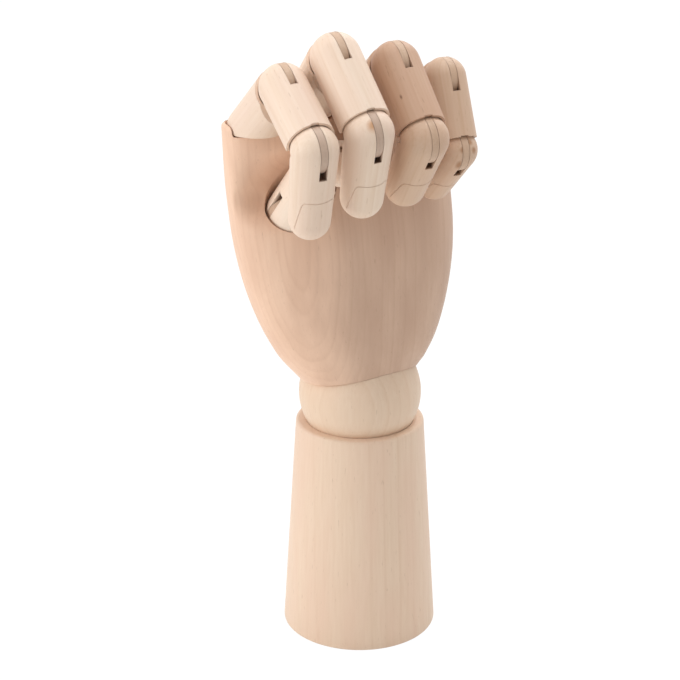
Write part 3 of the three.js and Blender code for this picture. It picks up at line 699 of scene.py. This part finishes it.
palm_cuts = [globe(Matrix(), seat_radius), round_bar(Matrix(), SPRING_BORE_RADIUS, PALM_BORE_TOP),
             pin_room(PALM_PIN_FRONT, PALM_PIN_RISE)]
for finger in FINGER_NAMES:
    knuckle, along = joint_place(f"{finger}_knuckle"), joint_place(f"{finger}_middle_hinge")
    reach = (along - knuckle).length / MM
    curled = facing(knuckle, joints[f"{finger}_knuckle"]["axis"], along - knuckle)
    upright = in_palm(bent(curled, joints[f"{finger}_knuckle"]["range_deg"][0]))
    radius = JOINT_RADII[finger][0]
    room = radius + SOCKET_CLEARANCE
    palm_cuts += [globe(upright, room * SOCKET_EASE), round_bar(upright, room, reach),
                  fan(upright, room, reach, 0, 90), mortise(upright, radius)]
thumb_root, thumb_knuckle = joint_place("thumb_root"), joint_place("thumb_tip_hinge")
thumb_seat = in_palm(facing(thumb_root, joints["thumb_root"]["axis"], thumb_knuckle - thumb_root))
room = JOINT_RADII["thumb"][0] + THUMB_SOCKET_CLEARANCE
thumb_reach = 2 * (thumb_knuckle - thumb_root).length / MM
palm_cuts += [globe(thumb_seat, room + THUMB_SOCKET_CLEARANCE),
              fan(thumb_seat, room, thumb_reach, *THUMB_SWING),
              *[round_bar(bent(thumb_seat, b), room, thumb_reach) for b in THUMB_SWING],
              mortise(bent(thumb_seat, -THUMB_TONGUE_LEAN), JOINT_RADII["thumb"][0])]
# A pinkish brown block with soft arcs; painted light makes its thumb side, which faces the lamps, paler.
palm_wood = sanded_wood("carved_pink_hardwood", pale="#D5B49C", deep="#BC957B", tint="#BF9A82",
                        pore="#9A745A", ring_mm=2.6, ring_depth=0.3, fibre_depth=0.14,
                        painted_light_side=(-27.0, -4.0, 1.31))
palm_mesh = carved(shaped(palm_block), palm_cuts, palm_wood)
palm_board = facing(PALM_PITH, PALM_PITH_LEAN.orthogonal(), PALM_PITH_LEAN).inverted()
fitted("palm_carved", palm_mesh, palm_place, "palm", "palm", board=palm_board)

# Finger and thumb segments: each turned from a hardwood stick, with a round dome below that is slotted
# for the tongue of its hinge and bored for the pin, a cup above for the next dome, and the inner side
# bevelled so that the joint can fold. The last ones end round and carry a fine scored nail line.
TIP_SIZES = {"index": (36.7, 7.7), "middle": (37.0, 8.0), "ring": (35.4, 7.8), "little": (31.0, 6.9),
             "thumb": (27.0, 7.8)}
THUMB_TIP_BEND = 87.0
RIM_STEP = 0.4
RIM_SET_BACK = 0.45
SLOT_PAST_DOME = 0.15
THUMB_SLOT_PAST_DOME = 2.1
SLOT_BLADE = 17.0
WIDE_SLOT_BLADE = 44.0
WIDE_SLOTS = ("index_tip", "thumb_base")
PIN_RADIUS = 0.9
PIN_TIP_WALL = 2.0
BORE_PAST_SIDE = 2.0
HINGE_BEVEL = 52.0
KNUCKLE_BEVEL_PAST_BEND = 5.0
FINGER_SIDES = 96
DOME_STEPS = 24
BLADE_SIDES = 160
BORE_SIDES = 24
NAIL_START = 0.48
NAIL_PAST_END = 4.0
NAIL_POINTS = 160
NAIL_SPREAD = (0.85, 1.5)
NAIL_CORNER = 2.4
NAIL_GROOVE = 0.22
KERF_DEPTH = 0.4
ACROSS = (0, math.radians(90), 0)
CUT = {"operation": "DIFFERENCE", "solver": "MANIFOLD"}


def segment_tree():
    """A turned segment with its slot, pin bore and folds and, where it has one, its cup or its nail line."""
    tree, given = node_tree("finger_segment", {
        "Profile": "Geometry", "Sides": "Int", "Finish": "Material",
        "Joint Radius": "Float", "Slot Width": "Float", "Blade Radius": "Float", "Slot Middle": "Vector",
        "Bore Radius": "Float", "Bore Length": "Float", "Bore Middle": "Vector",
        "Folds Above": "Bool", "Fold Size": "Vector", "Fold Middle": "Vector", "Fold Turn": "Vector",
        "Has Cup": "Bool", "Cup Height": "Vector", "Mortise Size": "Vector", "Mortise Middle": "Vector",
        "Kerf Size": "Vector", "Kerf Middle": "Vector",
        "Cup Fold Size": "Vector", "Cup Fold Middle": "Vector", "Cup Fold Turn": "Vector",
        "Has Nail": "Bool", "Nail Root Width": "Float", "Nail End Width": "Float", "Nail Length": "Float",
        "Nail Middle": "Vector", "Nail Corner": "Float", "Nail Groove": "Float", "Tip Radius": "Float",
        "Tip Height": "Float"})

    def bar(name, radius, length, sides):
        """A round cutter that lies along the hinge axis."""
        shape = add(tree, "GeometryNodeMeshCylinder", {"Vertices": sides, "Radius": given[radius],
                                                       "Depth": given[length]})
        return add(tree, "GeometryNodeTransform", {"Geometry": shape, "Rotation": ACROSS,
                                                   "Translation": given[f"{name} Middle"]})

    def block(name):
        """A box cutter in its place."""
        shape = add(tree, "GeometryNodeMeshCube", {"Size": given[f"{name} Size"]})
        return add(tree, "GeometryNodeTransform", {"Geometry": shape,
                                                   "Translation": given[f"{name} Middle"]})

    body = add(tree, "GeometryNodeGroup", {label: given[label] for label in ("Profile", "Sides", "Finish")},
               node_tree=lathe)
    slot = bar("Slot", "Blade Radius", "Slot Width", BLADE_SIDES)
    bore = bar("Bore", "Bore Radius", "Bore Length", BORE_SIDES)
    opened = add(tree, "GeometryNodeMeshBoolean", {"Mesh 1": body, "Mesh 2": [slot, bore]}, **CUT)

    # The fold is cut from the inner side around the dome, which stays whole.
    wedge = add(tree, "GeometryNodeTransform", {"Geometry": block("Fold"), "Rotation": given["Fold Turn"]})
    dome = add(tree, "GeometryNodeMeshUVSphere", {"Segments": CUTTER_SIDES, "Rings": CUTTER_RINGS,
                                                  "Radius": given["Joint Radius"]})
    outside = add(tree, "GeometryNodeMeshBoolean", {"Mesh 1": wedge, "Mesh 2": dome}, **CUT)
    folded = add(tree, "GeometryNodeMeshBoolean", {"Mesh 1": opened, "Mesh 2": outside}, **CUT)
    folding = add(tree, "GeometryNodeSwitch", {"Switch": given["Folds Above"], "False": opened,
                                               "True": folded}, input_type="GEOMETRY")

    heel = add(tree, "GeometryNodeTransform", {
        "Geometry": block("Cup Fold"), "Rotation": given["Cup Fold Turn"],
        "Translation": given["Cup Height"]})
    cupped = add(tree, "GeometryNodeMeshBoolean", {
        "Mesh 1": folding, "Mesh 2": [block("Mortise"), block("Kerf"), heel]}, **CUT)
    cupping = add(tree, "GeometryNodeSwitch", {"Switch": given["Has Cup"], "False": folding,
                                               "True": cupped}, input_type="GEOMETRY")

    # The nail line is drawn flat, X across and Y up, and wrapped on the taper's back before it is scored.
    nail = add(tree, "GeometryNodeCurvePrimitiveQuadrilateral", {
        "Bottom Width": given["Nail Root Width"], "Top Width": given["Nail End Width"],
        "Height": given["Nail Length"], "Offset": 0.0}, mode="TRAPEZOID")
    nail = add(tree, "GeometryNodeFilletCurve", {"Curve": nail, "Radius": given["Nail Corner"], "Count": 8},
               mode="POLY")
    nail = add(tree, "GeometryNodeResampleCurve", {"Curve": nail, "Count": NAIL_POINTS})
    nail = add(tree, "GeometryNodeTransform", {"Geometry": nail, "Translation": given["Nail Middle"]})
    place = add(tree, "ShaderNodeSeparateXYZ", {0: add(tree, "GeometryNodeInputPosition")}).outputs
    taper = add(tree, "ShaderNodeMapRange", {0: place["Y"], 1: 0.0, 2: given["Tip Height"],
                                             3: given["Joint Radius"], 4: given["Tip Radius"]})
    turn = add(tree, "ShaderNodeMath", {0: place["X"], 1: taper}, operation="DIVIDE")
    proud, across = on_circle(tree, turn, taper)
    wrap = add(tree, "ShaderNodeCombineXYZ", {0: across, 1: proud, 2: place["Y"]})
    nail = add(tree, "GeometryNodeSetPosition", {"Geometry": nail, "Position": wrap})
    scriber = add(tree, "GeometryNodeCurvePrimitiveCircle", {"Resolution": 8,
                                                             "Radius": given["Nail Groove"]})
    groove = add(tree, "GeometryNodeCurveToMesh", {"Curve": nail, "Profile Curve": scriber,
                                                   "Fill Caps": True})
    scored = add(tree, "GeometryNodeMeshBoolean", {"Mesh 1": cupping, "Mesh 2": groove}, **CUT)
    scoring = add(tree, "GeometryNodeSwitch", {"Switch": given["Has Nail"], "False": cupping,
                                               "True": scored}, input_type="GEOMETRY")
    return ended(tree, scoring, given["Finish"])


segment = segment_tree()


def stick_pith(finger, i):
    """Where a segment lay in its stick, as an offset from the pith, so that no two share a pattern."""
    stick = list(JOINT_RADII).index(finger)
    return Vector((28 + 17 * i - 9 * stick, 33 - 14 * i, 300 * i + 60 * stick))


# Sticks of several trees, turned alike: cream, nearly white, brown and reddish, each with its own streaks
# and, where a twig grew, a small brown knot. The brown and reddish sticks of the ring and little fingers are
# also painted darker as painted shade, for the shade these fingers lie in beside their neighbours.
STICK_RINGS = {"ring_mm": 2.2, "ring_depth": 0.35}
finger_wood = sanded_wood("turned_pale_finger_stick", pale="#EBD5C1", deep="#D9BA9B", tint="#E5C7B4",
                          pore="#A07A54", **STICK_RINGS,
                          knots=[(stick_pith("middle", 2) + Vector((-1.6, 4.8, -7.6)), 2.6, "#BE8450")])
thumb_wood = sanded_wood("turned_white_thumb_stick", pale="#F3E0CE", deep="#E2C8AE", tint="#EED6C2",
                         pore="#A8845E", **STICK_RINGS)
LITTLE_KNOTS = ((2.1, 1.3, -7.4), (3.5, 3.9, -5.7), (-2.3, 7.3, -1.7), (-1.4, 3.8, -6.6))
little_knots = [(stick_pith("little", 2) + Vector(at), 1.5, "#A06E46") for at in LITTLE_KNOTS]
# Partly painted shade: darker than the pale sticks, partly for a browner wood and partly for the shade the
# ring and little fingers lie in.
brown_and_shaded_wood = sanded_wood("turned_brown_finger_stick", pale="#D4B69D", deep="#C49F7F", tint="#CBA388",
                         pore="#8E6440", **STICK_RINGS, knots=little_knots)
# Partly painted shade: darker and redder still, partly for a redder wood and partly for the middle finger's
# shadow on the ring finger's middle segment.
red_and_shaded_wood = sanded_wood("turned_red_finger_stick", pale="#C7A389", deep="#B78F6F", tint="#BE9277",
                       pore="#7E5638", **STICK_RINGS,
                       knots=[(stick_pith("ring", 1) + Vector((-6.3, 6.7, 16.7)), 0.6, "#6A4630")])
FINGER_WOODS = {"index": [finger_wood] * 3, "middle": [finger_wood] * 3,
                "ring": [brown_and_shaded_wood, red_and_shaded_wood, brown_and_shaded_wood], "little": [brown_and_shaded_wood] * 3}


def joint_cuts(radius, reach, blade, fold):
    """Sizes of the slot that the round saw blade leaves, the pin bore and the fold at a segment's dome."""
    bore_from, bore_to = -(radius - PIN_TIP_WALL), radius + BORE_PAST_SIDE
    return {
        "Joint Radius": radius, "Slot Width": SLOT_WIDTH, "Blade Radius": blade,
        "Slot Middle": (0, 0, reach - blade), "Bore Radius": PIN_RADIUS + PIN_GAP,
        "Bore Length": bore_to - bore_from, "Bore Middle": ((bore_to + bore_from) / 2, 0, 0),
        "Folds Above": fold > 0, "Fold Size": (4 * radius, 3 * radius, 2 * radius),
        "Fold Middle": (0, -1.5 * radius, -radius), "Fold Turn": (-math.radians(fold), 0, 0)}


def cup_cuts(next_radius, length):
    """Sizes of the mortise, the saw kerf in the rim and the fold at the cup of a segment."""
    depth = 2 * next_radius + MORTISE_DEPTH
    rim = length - RIM_SET_BACK * next_radius
    return {
        "Has Cup": True, "Cup Height": (0, 0, length),
        "Mortise Size": (SLOT_WIDTH, 2 * (TONGUE_SHANK * next_radius + TONGUE_GAP), depth),
        "Mortise Middle": (0, 0, length + depth / 2 - (next_radius + DOME_GAP + MORTISE_DEPTH)),
        "Kerf Size": (SLOT_WIDTH, next_radius, 2 * KERF_DEPTH), "Kerf Middle": (0, next_radius, rim),
        "Cup Fold Size": (4 * next_radius, 3 * next_radius, 2 * next_radius),
        "Cup Fold Middle": (0, -1.5 * next_radius, next_radius),
        "Cup Fold Turn": (math.radians(HINGE_BEVEL), 0, 0)}


def cupped_outline(radius, length, next_radius):
    cup = next_radius + DOME_GAP
    drop = RIM_SET_BACK * next_radius
    rim_angle = math.degrees(math.asin(drop / cup))
    rim = (next_radius + RIM_STEP, length - drop)
    side = [(radius + (rim[0] - radius) * i / 8, 0.0, rim[1] * i / 8) for i in range(1, 9)]
    return [*arc(radius, 0, 0, -90, 0, DOME_STEPS), *side,
            *arc(cup, 0, length, -rim_angle, -90, DOME_STEPS)]


def tip_outline(radius, length, tip_radius):
    height = length - tip_radius
    side = [(radius + (tip_radius - radius) * i / 10, 0.0, height * i / 10) for i in range(1, 10)]
    return [*arc(radius, 0, 0, -90, 0, DOME_STEPS), *side, *arc(tip_radius, 0, height, 0, 90, DOME_STEPS)]


def tip_nail(length, tip_radius):
    """Sizes of the nail line: across the back of the tip, then down both sides and off the round end."""
    start, beyond = NAIL_START * length, length + NAIL_PAST_END
    root, end = (2 * spread * tip_radius for spread in NAIL_SPREAD)
    return {
        "Has Nail": True, "Nail Root Width": root, "Nail End Width": end, "Nail Length": beyond - start,
        "Nail Middle": (0, (beyond + start) / 2, 0), "Nail Corner": NAIL_CORNER, "Nail Groove": NAIL_GROOVE,
        "Tip Radius": tip_radius, "Tip Height": length - tip_radius}


def chain(finger, hinges, bodies, folds, root_slot, tip_bend, woods):
    """The segments of one finger from the knuckle out; gives the frame of each."""
    radii = JOINT_RADII[finger]
    places = [joint_place(h) for h in hinges]
    seats = []
    for i, body in enumerate(bodies):
        reach = radii[i] + (root_slot if i == 0 else SLOT_PAST_DOME)
        blade = WIDE_SLOT_BLADE if body in WIDE_SLOTS else SLOT_BLADE
        sizes = {"Sides": FINGER_SIDES, "Finish": woods[i], **joint_cuts(radii[i], reach, blade, folds[i])}
        if i + 1 < len(bodies):
            seat = facing(places[i], joints[hinges[i]]["axis"], places[i + 1] - places[i])
            length = (places[i + 1] - places[i]).length / MM
            outline = cupped_outline(radii[i], length, radii[i + 1])
            sizes.update(cup_cuts(radii[i + 1], length))
        else:
            straight = seats[-1].to_quaternion().to_matrix().to_4x4()
            seat = bent(Matrix.Translation(places[i]) @ straight, tip_bend)
            length, tip_radius = TIP_SIZES[finger]
            outline = tip_outline(radii[i], length, tip_radius)
            sizes.update(tip_nail(length, tip_radius))
        fitted(f"{body}_turned", grown(segment, outline, sizes), seat, body, body,
               board=Matrix.Translation(stick_pith(finger, i)), girth=radii[i])
        seats.append(seat)
    return seats


hinge_seats = []
for finger in FINGER_NAMES:
    hinges = [f"{finger}_knuckle", f"{finger}_middle_hinge", f"{finger}_tip_hinge"]
    bodies = [f"{finger}_proximal", f"{finger}_middle", f"{finger}_tip"]
    bends = [-joints[h]["range_deg"][0] for h in hinges]
    folds = (bends[0] + KNUCKLE_BEVEL_PAST_BEND, HINGE_BEVEL, HINGE_BEVEL)
    seats = chain(finger, hinges, bodies, folds, SLOT_PAST_DOME, bends[2], FINGER_WOODS[finger])
    labels = [f"{finger}_{part}" for part in ("knuckle", "middle", "tip")]
    hinge_seats += zip(labels, ["palm", *bodies], bodies, JOINT_RADII[finger], seats, bends)
bodies = ["thumb_base", "thumb_tip"]
seats = chain("thumb", ["thumb_root", "thumb_tip_hinge"], bodies, (0, HINGE_BEVEL), THUMB_SLOT_PAST_DOME,
              THUMB_TIP_BEND, [thumb_wood] * 2)
hinge_seats += zip(["thumb_root", "thumb_tip"], ["palm", *bodies], bodies, JOINT_RADII["thumb"], seats,
                   (THUMB_TONGUE_LEAN, THUMB_TIP_BEND))

# Tongues: flat strips of a darker wood, brown or grey, with one round end, glued by their shanks in the
# mortises of palm and segments. Each fills the slot of the next dome and is bored for the hinge pin.
TONGUE_THICKNESS = 2.7
TONGUE_SINK = 0.15
TONGUE_BORE_LENGTH = 20.0
UPRIGHT = (math.radians(90), 0, math.radians(90))
GREY_TONGUES = ("index_tip", "middle_tip")


def tongue_tree():
    """A plate of an outline drawn in the XY plane, stood up across the hinge and bored for its pin."""
    tree, given = node_tree("tongue_plate", {"Outline": "Geometry", "Thickness": "Float",
                                             "Bore Radius": "Float", "Finish": "Material"})
    line = add(tree, "GeometryNodeMeshToCurve", {"Mesh": given["Outline"]})
    loop = add(tree, "GeometryNodeSetSplineCyclic", {"Geometry": line, "Cyclic": True})
    face = add(tree, "GeometryNodeFillCurve", {"Curve": loop}, mode="NGONS")
    rise = add(tree, "ShaderNodeCombineXYZ", {2: given["Thickness"]})
    risen = add(tree, "GeometryNodeExtrudeMesh", {"Mesh": face, "Offset": rise, "Individual": False})
    below = add(tree, "GeometryNodeFlipFaces", {"Mesh": face})
    both = add(tree, "GeometryNodeJoinGeometry", {"Geometry": [risen, below]})
    closed = add(tree, "GeometryNodeMergeByDistance", {"Geometry": both, "Distance": WELD})
    half = add(tree, "ShaderNodeVectorMath", {0: rise, 1: (0, 0, -0.5)}, operation="MULTIPLY")
    centred = add(tree, "GeometryNodeTransform", {"Geometry": closed, "Translation": half})
    stood = add(tree, "GeometryNodeTransform", {"Geometry": centred, "Rotation": UPRIGHT})
    rod = add(tree, "GeometryNodeMeshCylinder", {"Vertices": BORE_SIDES, "Radius": given["Bore Radius"],
                                                 "Depth": TONGUE_BORE_LENGTH})
    bore = add(tree, "GeometryNodeTransform", {"Geometry": rod, "Rotation": ACROSS})
    bored = add(tree, "GeometryNodeMeshBoolean", {"Mesh 1": stood, "Mesh 2": bore}, **CUT)
    return ended(tree, bored, given["Finish"])


def tongue_outline(radius):
    half, reach = TONGUE_SHANK * radius, radius - TONGUE_SINK
    foot = -(radius + DOME_GAP + MORTISE_DEPTH - 2 * TONGUE_GAP)
    shoulder = math.degrees(math.acos(half / reach))
    turns = [math.radians(-shoulder + (180 + 2 * shoulder) * i / 48) for i in range(49)]
    end = [(reach * math.cos(a), reach * math.sin(a), 0.0) for a in turns]
    return [(-half, foot, 0.0), (half, foot, 0.0), *end]


tongue = tongue_tree()
# Thin strips sawn from darker boards: a plain brown or greyish edge in the slot, with closer rings.
STRIP_GRAIN = {"pore": "#6E5442", "ring_mm": 1.5, "ring_depth": 0.35}
brown_strip = sanded_wood("thin_brown_strip", pale="#CFB198", deep="#B39175", tint="#C4A286", **STRIP_GRAIN)
grey_strip = sanded_wood("thin_grey_strip", pale="#C8AE9A", deep="#AD9280", tint="#BEA28F", **STRIP_GRAIN)
for label, holder, _, radius, seat, bend in hinge_seats:
    strip = grey_strip if label in GREY_TONGUES else brown_strip
    mesh = grown(tongue, tongue_outline(radius), {"Thickness": TONGUE_THICKNESS, "Finish": strip,
                                                  "Bore Radius": PIN_RADIUS + PIN_GAP})
    cut_from = Matrix.Translation((19 + 6 * radius, 11, 30 * radius))
    fitted(f"{label}_tongue_cut", mesh, bent(seat, -bend), holder, f"{label}_tongue",
           board=cut_from)

# Hinge pins: thin steel pins driven in from the little-finger side through both ears of a dome and
# the tongue between them, their heads a little below the wood.
PIN_SINK = 0.35
HINGE_PIN_SIDES = 24
for label, _, body, radius, seat, _ in hinge_seats:
    tip = -(radius - PIN_TIP_WALL - PIN_GAP)
    length = radius - PIN_SINK - tip
    mesh = grown(lathe, pin_outline(PIN_RADIUS, length), {"Sides": HINGE_PIN_SIDES, "Finish": pin_steel})
    mesh.transform(Matrix.Translation((tip, 0, 0)) @ Matrix.Rotation(math.pi / 2, 4, "Y"))
    fitted(f"{label}_pin_drawn", mesh, seat, body, f"{label}_pin")

# Floor, light and camera: a plain white table under soft studio light, with equal softboxes at the
# left, above and behind on the right, seen from in front and above as the picture was taken.
TABLE_HALF = 3.0
TABLE_SHOWN_WHITE = 0.9
TABLE_GLOW = 1.06
ROOM_LIGHT = 0.54
HAND_MIDDLE = Vector((0.0, 0.0, 0.14))
SOFTBOX_SIZE = 0.8
SOFTBOXES = (("left_softbox", (-1.14, 0.21, 0.45), 6.35), ("top_softbox", (-0.045, -0.095, 1.335), 6.4),
             ("back_softbox", (0.7, 0.48, 0.99), 5.5))
CAMERA_DISTANCE = 745.0
CAMERA_HEIGHT = 420.5
CAMERA_AZIMUTH = 25.5
CAMERA_PITCH = 21.68
CAMERA_YAW = 0.62
FOCAL_PIXELS = 2000.0
FRAME_PIXELS = 680.0
SENSOR_WIDTH = 36.0


def seen_rays(tree):
    """One for the rays on which the white background shows: to the camera, in gloss and through glass."""
    rays = add(tree, "ShaderNodeLightPath").outputs
    seen = rays["Is Camera Ray"]
    for kind in ("Is Glossy Ray", "Is Transmission Ray"):
        seen = add(tree, "ShaderNodeMath", {0: seen, 1: rays[kind]}, operation="MAXIMUM")
    return seen


# A matt white board: it takes the hand's soft shadow, and shows as nearly plain white.
table = bpy.data.materials.new("white_table")
tree = bare_tree(table)
faint = add(tree, "ShaderNodeMath", {0: seen_rays(tree), 1: TABLE_SHOWN_WHITE}, operation="MULTIPLY")
matt = add(tree, "ShaderNodeBsdfDiffuse", {"Color": colour("#F4F4F2")})
glow = add(tree, "ShaderNodeEmission", {"Strength": TABLE_GLOW})
blend = add(tree, "ShaderNodeMixShader", {0: faint, 1: matt, 2: glow})
add(tree, "ShaderNodeOutputMaterial", {"Surface": blend})
floor_mesh = shaped(lambda form: bmesh.ops.create_grid(form, x_segments=1, y_segments=1, size=TABLE_HALF))
floor_mesh.materials.append(table)
floor = placed("floor", floor_mesh)

world = bpy.data.worlds.new("studio")
bpy.context.scene.world = world
tree = bare_tree(world)
room_light = add(tree, "ShaderNodeBackground", {"Color": colour("#FFFFFF"), "Strength": ROOM_LIGHT})
backdrop = add(tree, "ShaderNodeBackground", {"Color": colour("#FFFFFF"), "Strength": 1.0})
shown = add(tree, "ShaderNodeMixShader", {0: seen_rays(tree), 1: room_light, 2: backdrop})
add(tree, "ShaderNodeOutputWorld", {"Surface": shown})

for name, place, power in SOFTBOXES:
    lamp = bpy.data.lights.new(name, "AREA")
    lamp.energy, lamp.size, lamp.shape = power, SOFTBOX_SIZE, "SQUARE"
    softbox = placed(name, lamp)
    softbox.location = place
    softbox.rotation_euler = (HAND_MIDDLE - Vector(place)).to_track_quat("-Z", "Y").to_euler()

azimuth, pitch, yaw = (math.radians(v) for v in (CAMERA_AZIMUTH, CAMERA_PITCH, CAMERA_YAW))
level = Vector((math.sin(azimuth - yaw), math.cos(azimuth - yaw), 0))
forward = level * math.cos(pitch) - Vector((0, 0, 1)) * math.sin(pitch)
right = level.cross(Vector((0, 0, 1)))
turn = Matrix((right, right.cross(forward), -forward)).transposed().to_4x4()
away = -CAMERA_DISTANCE * Vector((math.sin(azimuth), math.cos(azimuth), 0))
eye = (away + Vector((0, 0, CAMERA_HEIGHT))) * MM
lens = bpy.data.cameras.new("camera")
lens.sensor_fit = "HORIZONTAL"
lens.sensor_width = SENSOR_WIDTH
lens.lens = SENSOR_WIDTH * FOCAL_PIXELS / FRAME_PIXELS
camera = placed("camera", lens)
camera.matrix_world = Matrix.Translation(eye) @ turn
bpy.context.scene.camera = camera
bpy.context.scene.view_settings.view_transform = "Standard"
